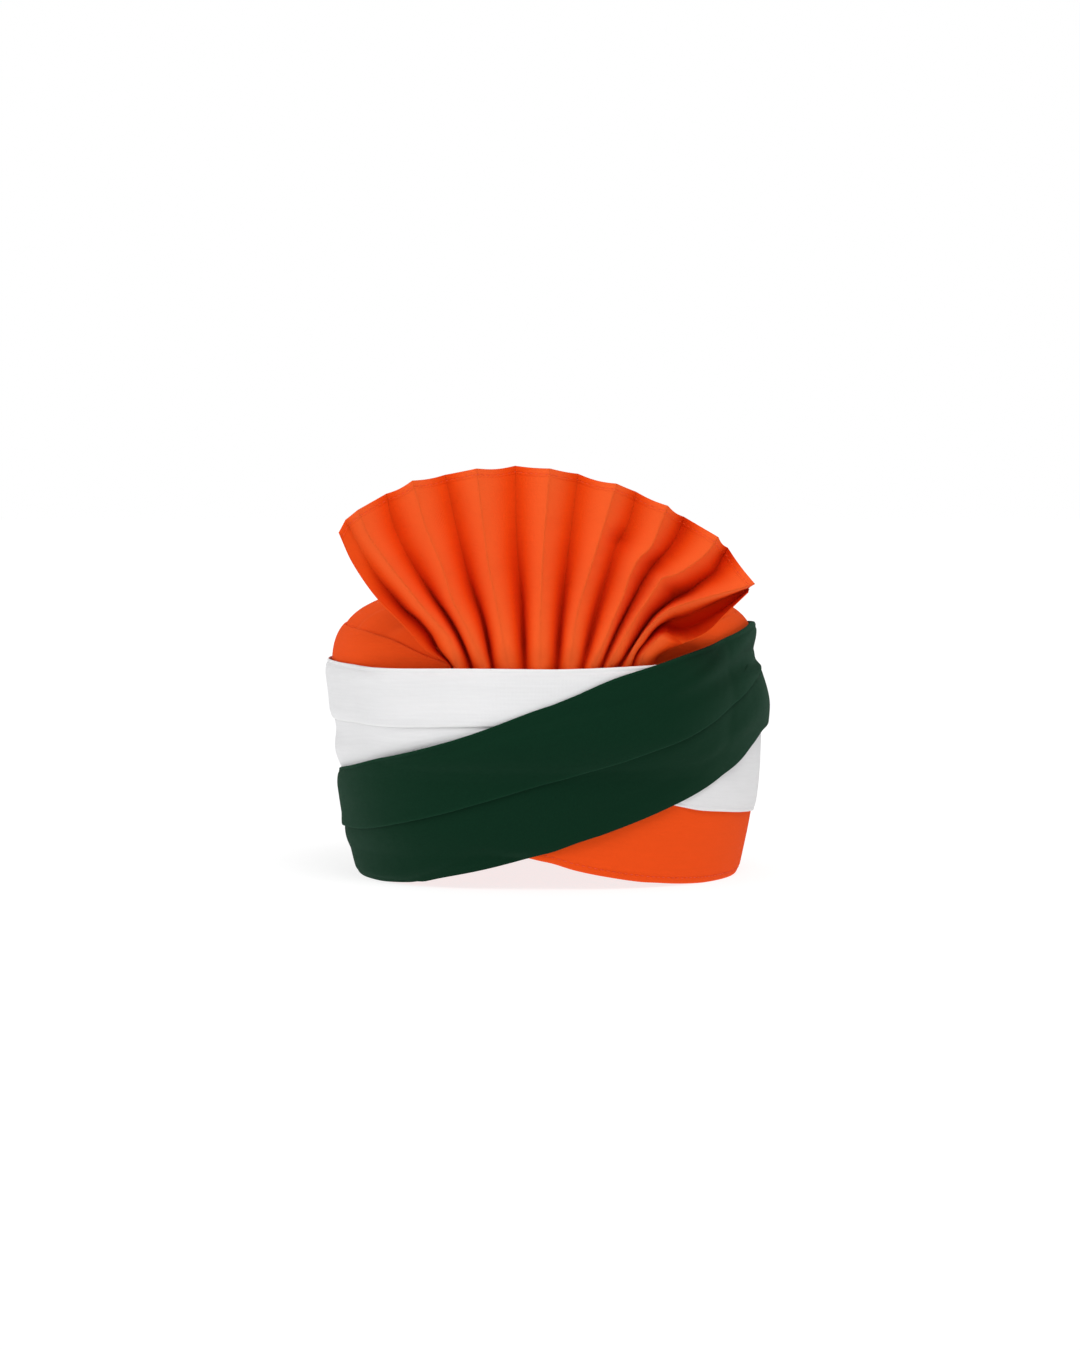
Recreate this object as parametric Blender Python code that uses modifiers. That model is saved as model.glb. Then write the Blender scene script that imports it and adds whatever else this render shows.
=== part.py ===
"""Tied turban pagri in three colours: a wound cap, six turns of cloth and a pleated fan.

Metres, +Z up, the front towards -Y, standing on its rim at z = 0.
"""

import math
from collections import namedtuple

import bmesh
import bpy
from mathutils import Vector

# The head and the wound body
HEAD_BREADTH = 0.168
HEAD_LENGTH = 0.192
BODY_HEIGHT = 0.136
BELLY_HEIGHT = 0.097
BELLY_SWELL = 0.013
RIM_LIP = 0.0025
PLAN_POWER = 2.15
LOWER_POWER = 1.6
DOME_POWER = 3.1

# The cloth
CAP_WALL = 0.003
TURN_WALL = 0.0014
FAN_WALL = 0.0012
PLY_GAP = 0.0005
LAP = 0.006
EASE_REACH = 0.014
EASE_FALL = 0.024

# The fan
FAN_SPAN = 0.186
FAN_RISE = 0.089
FAN_LEAN = 0.008
FAN_CUP = 0.012
FOOT_WIDTH = 0.085
FOOT_TUCK = 0.015
FOOT_PLEAT = 0.003
RIM_PLEAT = 0.006
FAN_BEARING = 267
FOOT_MARGIN = 4.0
FOOT_SPREAD = 34.0
PLEAT_START = 0.02
PLEAT_OPEN = 0.35
LEAN_START = 0.15

# How far the cloth is pulled in behind the fan's foot and high on the right, and stands out low
# on the right
FRONT_HOLLOW = 0.0035
RIGHT_HOLLOW = 0.006
RIGHT_SWELL = 0.003

# Each pull: its depth, its bearing and reach to each side in degrees, and the heights, as shares
# of BODY_HEIGHT, where it starts, is full, is full until, and ends
Pull = namedtuple("Pull", "depth bearing reach start full until end")
PULLS = (
    Pull(FRONT_HOLLOW, FAN_BEARING, 50, 0.45, 0.66, 0.78, 0.95),
    Pull(RIGHT_HOLLOW, 352, 60, 0.60, 0.79, 0.79, 0.98),
    Pull(-RIGHT_SWELL, 352, 80, -0.10, 0.00, 0.10, 0.55),
)

# Edges that stay level all round, as shares of BODY_HEIGHT
BASE_TOP = 0.56
CROWN_FOOT = 0.575
LOW_WHITE_TOP = 0.59
HIGH_WHITE_FOOT = 0.54
BAND_TOP = 0.743

# Mesh fineness
SIDES = 52
CAP_ROWS = 14
BELLY_ROWS = 5
FOOT_ROWS = 2
FAN_ROWS = 9

# Heights of the sloping edges as shares of BODY_HEIGHT, a row for each bearing in degrees:
# 0 is +X, 90 the back, 180 -X and 270 the front
Bearing = namedtuple(
    "Bearing", "degrees rim crown_top low_white_foot high_white_top green_foot green_fold green_top"
)
BEARINGS = (
    Bearing(0, 0.000, 0.910, 0.213, 0.846, 0.478, 0.717, 0.877),
    Bearing(30, 0.000, 0.910, 0.228, 0.864, 0.463, 0.684, 0.838),
    Bearing(60, 0.000, 0.897, 0.265, 0.831, 0.368, 0.574, 0.750),
    Bearing(90, 0.000, 0.882, 0.294, 0.779, 0.250, 0.441, 0.632),
    Bearing(120, 0.000, 0.875, 0.272, 0.750, 0.125, 0.316, 0.515),
    Bearing(150, 0.000, 0.868, 0.272, 0.743, 0.037, 0.213, 0.419),
    Bearing(180, 0.000, 0.860, 0.279, 0.743, 0.004, 0.158, 0.363),
    Bearing(210, 0.006, 0.849, 0.294, 0.743, 0.007, 0.191, 0.408),
    Bearing(240, 0.125, 0.768, 0.309, 0.743, 0.061, 0.261, 0.485),
    Bearing(270, 0.108, 0.676, 0.309, 0.743, 0.146, 0.377, 0.620),
    Bearing(300, 0.030, 0.805, 0.294, 0.757, 0.261, 0.500, 0.765),
    Bearing(330, 0.004, 0.890, 0.235, 0.809, 0.378, 0.676, 0.838),
)

# The fan's folds from left to right. crease is 1 on a ridge and -1 in a valley. foot is a share of
# FOOT_WIDTH, the sideways places are shares of half FAN_SPAN, the heights shares of FAN_RISE over
# the band's top edge, and cup is a share of FAN_CUP
Fold = namedtuple("Fold", "crease foot bend_side bend_height rim_side rim_height cup")
FOLDS = (
    Fold(0.2, -0.547, -0.78, 0.30, -1.00, 0.675, 0.90),
    Fold(-0.6, -0.512, -0.72, 0.33, -0.98, 0.72, 0.80),
    Fold(1.0, -0.476, -0.68, 0.41, -0.94, 0.76, 0.70),
    Fold(-1.0, -0.406, -0.58, 0.41, -0.78, 0.865, 0.50),
    Fold(1.0, -0.335, -0.50, 0.46, -0.645, 0.93, 0.35),
    Fold(-1.0, -0.282, -0.39, 0.48, -0.49, 0.965, 0.20),
    Fold(1.0, -0.205, -0.28, 0.50, -0.335, 0.995, 0.10),
    Fold(-1.0, -0.118, -0.14, 0.50, -0.155, 1.00, 0.00),
    Fold(1.0, -0.042, -0.03, 0.50, 0.01, 0.995, 0.00),
    Fold(-1.0, 0.049, 0.09, 0.475, 0.15, 0.96, 0.10),
    Fold(1.0, 0.106, 0.19, 0.45, 0.33, 0.92, 0.20),
    Fold(-1.0, 0.174, 0.28, 0.435, 0.43, 0.87, 0.35),
    Fold(1.0, 0.227, 0.39, 0.43, 0.58, 0.805, 0.55),
    Fold(-1.0, 0.271, 0.44, 0.385, 0.66, 0.745, 0.70),
    Fold(1.0, 0.312, 0.505, 0.395, 0.81, 0.65, 1.00),
    Fold(-1.0, 0.360, 0.57, 0.315, 0.87, 0.595, 1.10),
    Fold(1.0, 0.407, 0.655, 0.325, 0.995, 0.41, 1.50),
    Fold(-1.3, 0.453, 0.68, 0.225, 0.955, 0.365, 0.60),
)

Cloth = namedtuple("Cloth", "name colour roughness")
SAFFRON = Cloth("saffron_cloth", (0.79, 0.068, 0.010), 0.85)
WHITE = Cloth("white_cloth", (0.82, 0.82, 0.83), 0.85)
GREEN = Cloth("green_cloth", (0.005, 0.026, 0.013), 0.80)

RIM_HALF_BREADTH = HEAD_BREADTH / 2 + CAP_WALL
RIM_HALF_LENGTH = HEAD_LENGTH / 2 + CAP_WALL
PLY = TURN_WALL + PLY_GAP
FOOT_DEPTH = 2 * FOOT_PLEAT + 2 * FAN_WALL
FOOT_MIDDLE = PLY + PLY_GAP + FOOT_DEPTH / 2
BAND_TOP_HEIGHT = BAND_TOP * BODY_HEIGHT


def smooth(low, high, value):
    """0 below low, 1 above high, eased between."""
    share = min(1.0, max(0.0, (value - low) / (high - low)))
    return share * share * (3 - 2 * share)


def turned(degrees, centre):
    """The signed angle from the centre bearing, between -180 and 180."""
    return (degrees - centre + 180) % 360 - 180


def edge_height(column, degrees):
    """A column of BEARINGS at any bearing, on a curve that never swings past its rows."""
    count = len(BEARINGS)
    step = 360 / count
    place = (degrees % 360) / step
    first = int(place)
    share = place - first
    values = [getattr(BEARINGS[(first + i) % count], column) for i in (-1, 0, 1, 2)]
    rises = [after - before for before, after in zip(values, values[1:])]

    def slope(before, after):
        return 2 * before * after / (before + after) if before * after > 0 else 0.0

    start = slope(rises[0], rises[1])
    end = slope(rises[1], rises[2])
    turn = 3 * rises[1] - 2 * start - end
    lift = start + end - 2 * rises[1]
    return (values[1] + share * (start + share * (turn + share * lift))) * BODY_HEIGHT


def girth(height):
    """How far the cap stands beyond its rim, as a share of the belly: (added swell, dome share)."""
    if height <= BELLY_HEIGHT:
        rise = max(0.0, height - RIM_LIP) / (BELLY_HEIGHT - RIM_LIP)
        return 1 - (1 - rise) ** LOWER_POWER, 1.0
    rise = min(1.0, (height - BELLY_HEIGHT) / (BODY_HEIGHT - BELLY_HEIGHT))
    return 1.0, (1 - rise**DOME_POWER) ** (1 / DOME_POWER)


def rounded(value):
    """A cosine or sine made fuller, so that the plan is a little squarer than an ellipse."""
    return math.copysign(abs(value) ** (2 / PLAN_POWER), value)


def hollow(degrees, height):
    """How far the cloth is pulled in at this place."""
    share = height / BODY_HEIGHT
    total = 0.0
    for pull in PULLS:
        sideways = 1 - smooth(0.0, pull.reach, abs(turned(degrees, pull.bearing)))
        upward = smooth(pull.start, pull.full, share) * (1 - smooth(pull.until, pull.end, share))
        total += pull.depth * sideways * upward
    return total


def cap_point(degrees, height):
    """A point on the outside of the cap."""
    swell, dome = girth(height)
    angle = math.radians(degrees)
    length_ratio = RIM_HALF_LENGTH / RIM_HALF_BREADTH
    breadth = (RIM_HALF_BREADTH + BELLY_SWELL * swell) * dome
    across = breadth * rounded(math.cos(angle))
    along = breadth * length_ratio * rounded(math.sin(angle))
    reach = math.hypot(across, along)
    pulled = 1 - hollow(degrees, height) / max(reach, BELLY_SWELL)
    return Vector((across * pulled, along * pulled, height))


def cap_normal(degrees, height):
    """The outward direction of the cap, from its slope round and up."""
    step_round = 0.5
    step_up = 0.0005
    round_it = cap_point(degrees + step_round, height) - cap_point(degrees - step_round, height)
    up_it = cap_point(degrees, height + step_up) - cap_point(degrees, height - step_up)
    return round_it.cross(up_it).normalized()


def level(share):
    return lambda degrees: share * BODY_HEIGHT


def sloping(column, lap=0.0):
    return lambda degrees: edge_height(column, degrees) + lap


# The turns in the order they are wound. A turn lies over every turn of a lower layer
Turn = namedtuple("Turn", "name layer cloth foot top rows")
TURNS = (
    Turn("base_turn", 1, SAFFRON, sloping("rim"), level(BASE_TOP), 3),
    Turn("crown_turn", 1, SAFFRON, level(CROWN_FOOT), sloping("crown_top"), 8),
    Turn("white_turn_lower", 2, WHITE, sloping("low_white_foot"), level(LOW_WHITE_TOP), 3),
    Turn("white_turn_upper", 3, WHITE, level(HIGH_WHITE_FOOT), sloping("high_white_top"), 7),
    Turn("green_turn_lower", 4, GREEN, sloping("green_foot"), sloping("green_fold", LAP), 5),
    Turn("green_turn_upper", 5, GREEN, sloping("green_fold"), sloping("green_top"), 5),
)
LAYER_OVER_FOOT = 3


def under_cover(low, high, height):
    """1 on a turn and for EASE_REACH past its edges, eased to 0 beyond."""
    above = 1 - smooth(high + EASE_REACH, high + EASE_REACH + EASE_FALL, height)
    below = smooth(low - EASE_REACH - EASE_FALL, low - EASE_REACH, height)
    return above * below


def foot_cover(degrees, height):
    """1 where the fan's foot lies under the white cloth, eased to 0 beyond its ends."""
    half_angle = math.degrees(math.asin(FOOT_WIDTH / 2 / (RIM_HALF_BREADTH + BELLY_SWELL)))
    away = abs(turned(degrees, FAN_BEARING))
    full = half_angle + FOOT_MARGIN
    sideways = 1 - smooth(full, full + FOOT_SPREAD, away)
    return sideways * under_cover(BAND_TOP_HEIGHT - FOOT_TUCK, BODY_HEIGHT, height)


def clearance(layer, degrees, height):
    """How far above the cap the inner face of a turn lies: over all that it is wound on."""
    lift = PLY_GAP
    for turn in TURNS:
        if turn.layer >= layer:
            continue
        cover = under_cover(turn.foot(degrees), turn.top(degrees), height)
        if cover > 0:
            lift = max(lift, PLY_GAP + cover * (clearance(turn.layer, degrees, height) + TURN_WALL))
    if layer >= LAYER_OVER_FOOT:
        lift = max(lift, PLY_GAP + foot_cover(degrees, height) * (PLY + PLY_GAP + FOOT_DEPTH))
    return lift


def turn_point(turn, degrees, share):
    """A point on the outside of a turn, share of the way up from its lower edge."""
    foot = turn.foot(degrees)
    height = foot + (turn.top(degrees) - foot) * share
    out = clearance(turn.layer, degrees, height) + TURN_WALL
    return cap_point(degrees, height) + cap_normal(degrees, height) * out


def bent(start, middle, end, share):
    """The curve through three values at 0, a half and 1."""
    first = (2 * share - 1) * (share - 1) * start
    second = 4 * share * (1 - share) * middle
    third = share * (2 * share - 1) * end
    return first + second + third


def front_face(side, height):
    """The cap's bearing and y where the foot of the fan lies, at a place left or right."""
    swell, dome = girth(height)
    breadth = (RIM_HALF_BREADTH + BELLY_SWELL * swell) * dome
    cosine = math.copysign((abs(side) / breadth) ** (PLAN_POWER / 2), side)
    return 360 - math.degrees(math.acos(cosine))


def fold_line(fold, share):
    """A point on one fold before pleating, from the tucked foot at 0 to the rim at 1."""
    tucked = FOOT_ROWS / FAN_ROWS
    base_side = fold.foot * FOOT_WIDTH
    half_span = FAN_SPAN / 2
    up = max(0.0, share - tucked) / (1 - tucked)
    sunk = max(0.0, tucked - share) / tucked
    side = bent(base_side, fold.bend_side * half_span, fold.rim_side * half_span, up)
    rise = bent(0.0, fold.bend_height * FAN_RISE, fold.rim_height * FAN_RISE, up)
    height = BAND_TOP_HEIGHT + rise - sunk * FOOT_TUCK
    seat = min(height, BAND_TOP_HEIGHT)
    degrees = front_face(base_side, seat)
    base = cap_point(degrees, seat) + cap_normal(degrees, seat) * FOOT_MIDDLE
    lean = FAN_LEAN * smooth(LEAN_START, 1.0, up) - FAN_CUP * fold.cup * up * up
    return Vector((side + base.x - base_side, base.y + lean, height)), up


def fan_point(across, share):
    """A point on the middle of the fan's cloth; across runs from 0 to 1 over the folds."""
    place = across * (len(FOLDS) - 1)
    first = min(int(place), len(FOLDS) - 2)
    part = place - first
    left, up = fold_line(FOLDS[first], share)
    right, up = fold_line(FOLDS[first + 1], share)
    crease = FOLDS[first].crease * (1 - part) + FOLDS[first + 1].crease * part
    pleat = FOOT_PLEAT + (RIM_PLEAT - FOOT_PLEAT) * smooth(PLEAT_START, PLEAT_OPEN, up)
    point = left.lerp(right, part)
    point.y -= crease * pleat
    return point


def cloth_material(cloth):
    """One material for each colour of cloth."""
    material = bpy.data.materials.get(cloth.name)
    if material is None:
        material = bpy.data.materials.new(cloth.name)
        material.use_nodes = True
        shader = material.node_tree.nodes["Principled BSDF"]
        shader.inputs["Base Color"].default_value = (*cloth.colour, 1)
        shader.inputs["Roughness"].default_value = cloth.roughness
        shader.inputs["Metallic"].default_value = 0
        material.diffuse_color = (*cloth.colour, 1)
    return material


def cloth_object(name, cloth, bm, wall, offset, parent):
    """An open sheet given its wall by Solidify."""
    bmesh.ops.recalc_face_normals(bm, faces=bm.faces)
    mesh = bpy.data.meshes.new(name)
    bm.to_mesh(mesh)
    bm.free()
    mesh.shade_smooth()
    mesh.materials.append(cloth_material(cloth))
    piece = bpy.data.objects.new(name, mesh)
    piece.parent = parent
    parent.users_collection[0].objects.link(piece)
    solidify = piece.modifiers.new("wall", "SOLIDIFY")
    solidify.thickness = wall
    solidify.offset = offset
    solidify.use_even_offset = True
    solidify.use_quality_normals = True
    return piece


def make_cap(parent):
    """The wound cap: the upper half of a sphere drawn out to a round shouldered dome."""
    bm = bmesh.new()
    bmesh.ops.create_uvsphere(bm, u_segments=SIDES, v_segments=2 * CAP_ROWS, radius=1)
    below = [vertex for vertex in bm.verts if vertex.co.z < -0.001]
    bmesh.ops.delete(bm, geom=below, context="VERTS")
    for vertex in bm.verts:
        degrees = math.degrees(math.atan2(vertex.co.y, vertex.co.x))
        row = math.asin(min(1.0, vertex.co.z)) / (math.pi / 2) * CAP_ROWS
        if row <= BELLY_ROWS:
            foot = edge_height("rim", degrees)
            lip_top = foot + RIM_LIP
            if row <= 1:
                height = foot + RIM_LIP * row
            else:
                height = lip_top + (BELLY_HEIGHT - lip_top) * (row - 1) / (BELLY_ROWS - 1)
        else:
            over = (row - BELLY_ROWS) / (CAP_ROWS - BELLY_ROWS) * math.pi / 2
            dome = BODY_HEIGHT - BELLY_HEIGHT
            height = BELLY_HEIGHT + dome * math.sin(over) ** (2 / DOME_POWER)
        vertex.co = cap_point(degrees, min(height, BODY_HEIGHT))
    return cloth_object("cap", SAFFRON, bm, CAP_WALL, -1, parent)


def make_turn(turn, parent):
    """One turn of cloth: an open cylinder wall laid over everything wound before it."""
    bm = bmesh.new()
    bmesh.ops.create_cone(bm, cap_ends=False, segments=SIDES, radius1=1, radius2=1, depth=1)
    upright = [edge for edge in bm.edges if abs(edge.verts[0].co.z - edge.verts[1].co.z) > 0.5]
    bmesh.ops.subdivide_edges(bm, edges=upright, cuts=turn.rows - 1, use_grid_fill=True)
    for vertex in bm.verts:
        degrees = math.degrees(math.atan2(vertex.co.y, vertex.co.x))
        vertex.co = turn_point(turn, degrees, vertex.co.z + 0.5)
    return cloth_object(turn.name, turn.cloth, bm, TURN_WALL, -1, parent)


def make_fan(parent):
    """The pleated fan: a grid with a column on each fold and one between."""
    bm = bmesh.new()
    columns = 2 * (len(FOLDS) - 1)
    bmesh.ops.create_grid(bm, x_segments=columns, y_segments=FAN_ROWS, size=0.5)
    for vertex in bm.verts:
        vertex.co = fan_point(vertex.co.x + 0.5, vertex.co.y + 0.5)
    return cloth_object("fan", SAFFRON, bm, FAN_WALL, 0, parent)


def centre_on_origin(parent, pieces):
    """Moves the parent so that the middle of the whole outline is over the origin."""
    graph = bpy.context.evaluated_depsgraph_get()
    corners = []
    for piece in pieces:
        evaluated = piece.evaluated_get(graph)
        corners += [evaluated.matrix_world @ Vector(corner) for corner in evaluated.bound_box]
    for axis in (0, 1):
        values = [corner[axis] for corner in corners]
        parent.location[axis] = -(min(values) + max(values)) / 2


def main():
    for old in list(bpy.data.objects):
        bpy.data.objects.remove(old, do_unlink=True)
    collection = bpy.data.collections.new("tied_turban_pagri")
    bpy.context.scene.collection.children.link(collection)
    parent = bpy.data.objects.new("turban", None)
    collection.objects.link(parent)
    pieces = [make_cap(parent)]
    pieces += [make_turn(turn, parent) for turn in TURNS]
    pieces.append(make_fan(parent))
    bpy.context.view_layer.update()
    centre_on_origin(parent, pieces)


main()
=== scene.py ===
"""Tied turban pagri: a wound crown, turns of white and green cloth and a pleated standing fan.

Metres, +Z up, the front towards -Y, standing on its rim at z = 0.
"""

import math
from collections import namedtuple

import bmesh
import bpy
import numpy as np
from bpy.props import FloatProperty, FloatVectorProperty, IntProperty, PointerProperty
from bpy.types import Operator, Panel, PropertyGroup
from mathutils import Matrix, Vector


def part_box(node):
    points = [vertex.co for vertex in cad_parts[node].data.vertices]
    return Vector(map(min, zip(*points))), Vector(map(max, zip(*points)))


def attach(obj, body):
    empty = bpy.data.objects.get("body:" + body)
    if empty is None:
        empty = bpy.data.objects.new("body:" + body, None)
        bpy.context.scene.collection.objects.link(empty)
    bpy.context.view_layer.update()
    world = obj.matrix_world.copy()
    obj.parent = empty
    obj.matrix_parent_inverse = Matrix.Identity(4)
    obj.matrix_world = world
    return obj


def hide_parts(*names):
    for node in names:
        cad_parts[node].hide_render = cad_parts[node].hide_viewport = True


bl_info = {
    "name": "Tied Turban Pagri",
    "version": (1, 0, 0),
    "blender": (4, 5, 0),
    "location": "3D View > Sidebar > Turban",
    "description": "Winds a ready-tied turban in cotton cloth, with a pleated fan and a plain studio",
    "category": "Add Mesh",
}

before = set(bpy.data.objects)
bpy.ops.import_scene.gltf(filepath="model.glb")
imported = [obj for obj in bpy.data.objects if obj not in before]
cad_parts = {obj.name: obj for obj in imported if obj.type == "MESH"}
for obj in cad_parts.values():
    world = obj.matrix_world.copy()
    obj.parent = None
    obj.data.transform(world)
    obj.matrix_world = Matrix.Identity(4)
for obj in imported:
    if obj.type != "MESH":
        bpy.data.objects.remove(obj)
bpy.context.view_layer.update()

BODY = "root"
UV_NAME = "flat_cloth"
# The mesh attribute that carries painted light: painted shade in the depths, painted highlights on folds
PAINTED_LIGHT_NAME = "fold"

# The photograph's frame in pixels
PHOTO_WIDTH = 1080
PHOTO_HEIGHT = 1350
SENSOR = 36.0

# Shapes of the wound body: how full its plan, its lower wall and its dome are
PLAN_POWER = 2.15
LOWER_POWER = 1.6
DOME_POWER = 3.1

# Edges that stay level all round, as shares of the body's height
BASE_TOP = 0.56
CROWN_FOOT = 0.575
LOW_WHITE_TOP = 0.59
HIGH_WHITE_FOOT = 0.546
BAND_TOP = 0.743

# Each pull: its depth in metres, its bearing and reach to each side in degrees, and the heights, as
# shares of the body's height, where it starts, is full, is full until, and ends
Pull = namedtuple("Pull", "depth bearing reach start full until end")
PULLS = (
    Pull(0.0035, 267, 50, 0.45, 0.66, 0.78, 0.95),
    Pull(0.0058, 350, 60, 0.573, 0.745, 0.765, 0.888),
    Pull(-0.003, 352, 80, -0.10, 0.00, 0.10, 0.55),
    Pull(0.0018, 182, 55, 0.42, 0.52, 0.62, 0.76),
    Pull(0.0023, 185, 50, 0.12, 0.22, 0.35, 0.44),
)

# Where the turns are drawn tight on each other, in the same columns, with the depth as a share
TIGHT = Pull(0.40, 352, 46, 0.68, 0.74, 1.10, 1.20)

# Heights of the sloping edges as shares of the body's height, a row for each bearing in degrees:
# 0 is +X, 90 the back, 180 -X and 270 the front. The rows lie closer where an edge turns quickly
Bearing = namedtuple(
    "Bearing", "degrees rim crown_top low_white_foot high_white_top green_foot green_fold green_top"
)
BEARINGS = (
    Bearing(0, 0.000, 0.910, 0.217, 0.838, 0.520, 0.700, 0.862),
    Bearing(30, 0.000, 0.910, 0.228, 0.850, 0.474, 0.680, 0.838),
    Bearing(60, 0.000, 0.897, 0.265, 0.831, 0.368, 0.574, 0.750),
    Bearing(90, 0.000, 0.882, 0.294, 0.779, 0.250, 0.441, 0.632),
    Bearing(120, 0.000, 0.875, 0.272, 0.750, 0.125, 0.316, 0.515),
    Bearing(150, 0.000, 0.868, 0.272, 0.743, 0.037, 0.213, 0.419),
    Bearing(180, 0.000, 0.865, 0.279, 0.747, 0.000, 0.158, 0.366),
    Bearing(197, 0.000, 0.860, 0.287, 0.746, 0.000, 0.171, 0.393),
    Bearing(210, 0.002, 0.854, 0.294, 0.743, 0.000, 0.185, 0.409),
    Bearing(225, 0.026, 0.831, 0.302, 0.739, 0.008, 0.213, 0.438),
    Bearing(240, 0.080, 0.772, 0.309, 0.738, 0.041, 0.252, 0.478),
    Bearing(255, 0.130, 0.722, 0.309, 0.738, 0.077, 0.308, 0.529),
    Bearing(270, 0.095, 0.690, 0.309, 0.738, 0.130, 0.372, 0.612),
    Bearing(277, 0.068, 0.706, 0.306, 0.740, 0.167, 0.402, 0.666),
    Bearing(285, 0.047, 0.735, 0.303, 0.744, 0.201, 0.437, 0.712),
    Bearing(300, 0.019, 0.805, 0.290, 0.753, 0.268, 0.505, 0.767),
    Bearing(315, 0.004, 0.855, 0.257, 0.776, 0.339, 0.585, 0.810),
    Bearing(325, 0.000, 0.880, 0.245, 0.794, 0.397, 0.628, 0.834),
    Bearing(335, 0.000, 0.896, 0.234, 0.812, 0.467, 0.668, 0.853),
    Bearing(345, 0.000, 0.904, 0.226, 0.824, 0.510, 0.690, 0.866),
)

# The turns in the order they are wound. A turn lies over every turn of a lower layer. An edge is a
# column of BEARINGS or a level share. seam is how far its sewn line lies from the top edge, or from
# the foot where it is negative, lap is how far its top edge goes up under the next turn, press is
# how flat its folded edges are pressed, fade is the tone of its face, where 0.5 is the plain dye and
# the saffron turns' paler faces are painted light, and the last is the painted highlight added along
# its folded edges
Turn = namedtuple("Turn", "name node layer cloth foot top lap seam press fade edge_fade")
TURNS = (
    Turn("base_cloth", "base_turn", 1, "saffron", "rim", BASE_TOP,
         0.0, -0.0032, 0.30, 0.62, 0.14),
    Turn("crown_cloth", "crown_turn", 1, "saffron", CROWN_FOOT, "crown_top",
         0.0, 0.0, 0.45, 0.64, 0.08),
    Turn("white_lower_cloth", "white_turn_lower", 2, "white", "low_white_foot", LOW_WHITE_TOP,
         0.0, -0.0016, 0.45, 0.50, 0.30),
    Turn("white_upper_cloth", "white_turn_upper", 3, "white", HIGH_WHITE_FOOT, "high_white_top",
         0.0, 0.0016, 0.68, 0.50, 0.40),
    Turn("green_lower_cloth", "green_turn_lower", 4, "green", "green_foot", "green_fold",
         0.006, 0.0, 0.30, 0.44, 0.06),
    Turn("green_upper_cloth", "green_turn_upper", 5, "green", "green_fold", "green_top",
         0.0, 0.0016, 0.35, 0.50, 0.10),
)

# The fan's foot is tucked behind this layer. The layer below it already bends out towards the foot
LAYER_OVER_FOOT = 3
LAYER_BY_FOOT = 2

# How far from a folded edge, in metres, the fold still presses the turn flat, how far its painted
# highlight reaches, and the share of the gap that a pressed edge closes
PRESS_REACH = 0.0035
HIGHLIGHT_REACH = 0.0009
PRESSED_GAP = 0.4

# The sewn line in a turn: half its width and its depth. The stitches lie a little under the face
SEAM_WIDTH = 0.00045
SEAM_DEPTH = 0.00035
STITCH_SINK = 0.0002

# The fan's painted light, as tones that its material turns to colour: 0 is the full painted shade
# of a valley, 0.5 the face and 1 the full painted highlight of a ridge. Each is added where its kind
# of crease is
DEPTH_TONE = 0.10
OPEN_TONE = 0.32
SHALLOW_TONE = 0.42
LINE_TONE = 0.60
CREST_TONE = 0.35

# The crown: its laps' height, the tone of its face, paler than the dye as painted light, and how much
# paler the painted highlight along the edge of a lap is
LAP_HEIGHT = 0.0011
CROWN_TONE = 0.62
LAP_EDGE_TONE = 0.12

# The fan's hem: how far its stitches lie in from the hem's edge, and the depth of the dent that they
# draw, which is as wide to each side as it is deep
HEM_STITCHES = 0.0007
HEM_DENT = 0.0003

# Soft creases in the outer ply: bearings where each starts and ends, its place up the turn at both
# ends, and its height and width in metres. A negative height is a valley
Crease = namedtuple("Crease", "turn start end start_share end_share height width")
CREASES = (
    Crease("white_upper_cloth", 178, 250, 0.10, 0.17, 0.0006, 0.0030),
    Crease("white_upper_cloth", 190, 262, 0.62, 0.50, -0.0004, 0.0050),
    Crease("white_lower_cloth", 176, 236, 0.72, 0.62, -0.0007, 0.0040),
    Crease("white_lower_cloth", 292, 352, 0.52, 0.66, 0.0006, 0.0045),
    Crease("green_upper_cloth", 280, 344, 0.52, 0.46, -0.0018, 0.0050),
    Crease("green_upper_cloth", 276, 342, 0.80, 0.72, 0.0011, 0.0050),
    Crease("green_upper_cloth", 186, 246, 0.40, 0.30, -0.0005, 0.0055),
    Crease("green_lower_cloth", 300, 352, 0.44, 0.52, 0.0012, 0.0065),
    Crease("green_lower_cloth", 262, 322, 0.24, 0.34, -0.0007, 0.0050),
    Crease("green_lower_cloth", 196, 282, 0.16, 0.13, 0.0005, 0.0035),
    Crease("base_cloth", 276, 344, 0.24, 0.20, -0.0005, 0.0080),
    Crease("crown_cloth", 186, 246, 0.62, 0.40, 0.0006, 0.0060),
)

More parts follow.
